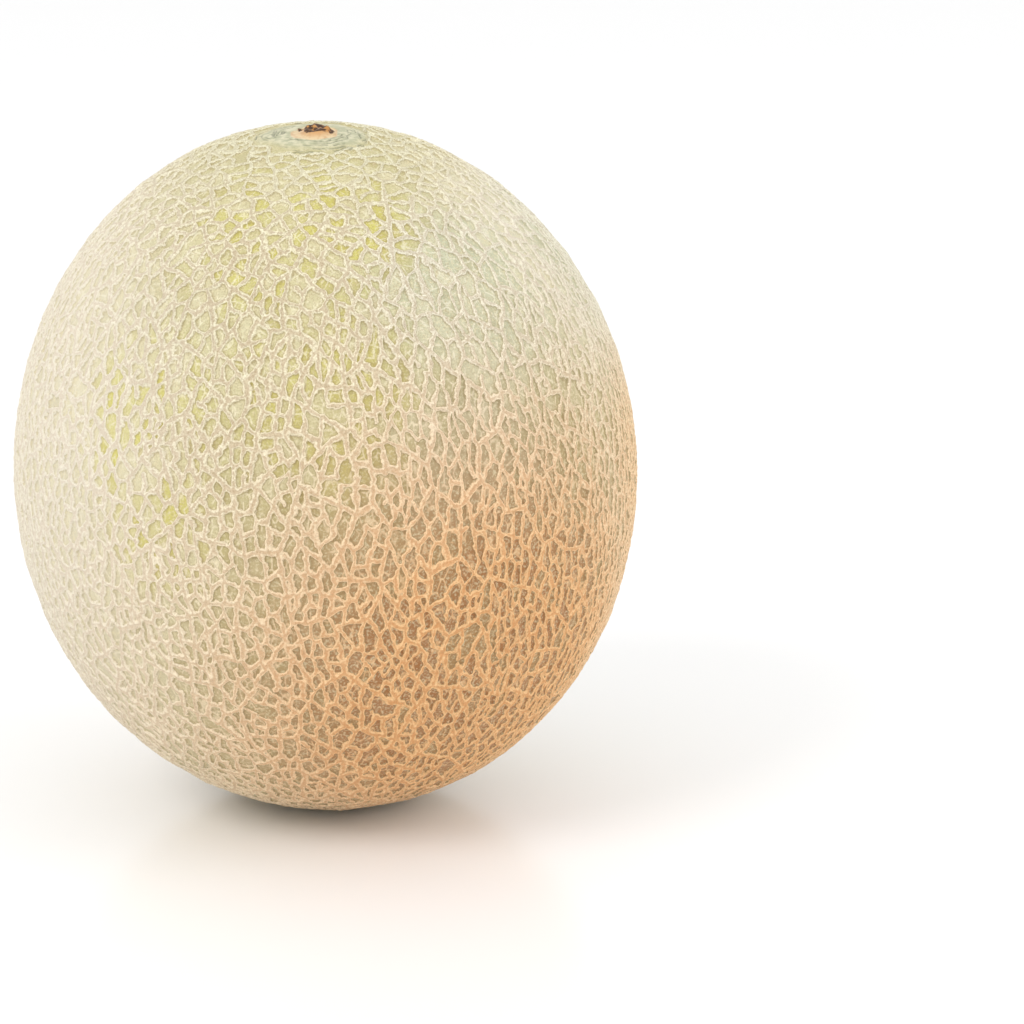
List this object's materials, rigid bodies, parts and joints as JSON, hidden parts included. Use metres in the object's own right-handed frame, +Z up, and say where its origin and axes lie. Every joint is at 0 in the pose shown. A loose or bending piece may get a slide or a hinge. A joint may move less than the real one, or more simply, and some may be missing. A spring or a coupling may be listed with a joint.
{
  "type": "cantaloupe melon",
  "caption": "Whole netted cantaloupe melon, slightly oval, with a raised corky net over pale green skin and a round stem scar, standing on a small flat spot.",
  "frame": {"origin": "on the ground, under the middle of the fruit", "axes": "+Z up towards the stem end, whose axis leans 2.3 degrees towards -X and 5 degrees towards -Y; the picture looks along +Y"},
  "size_m": [0.1524, 0.1522, 0.168],
  "materials": {
    "rind": "matte corky net over satin skin"
  },
  "bodies": {
    "root": {"melon": "rind"}
  },
  "joints": []
}
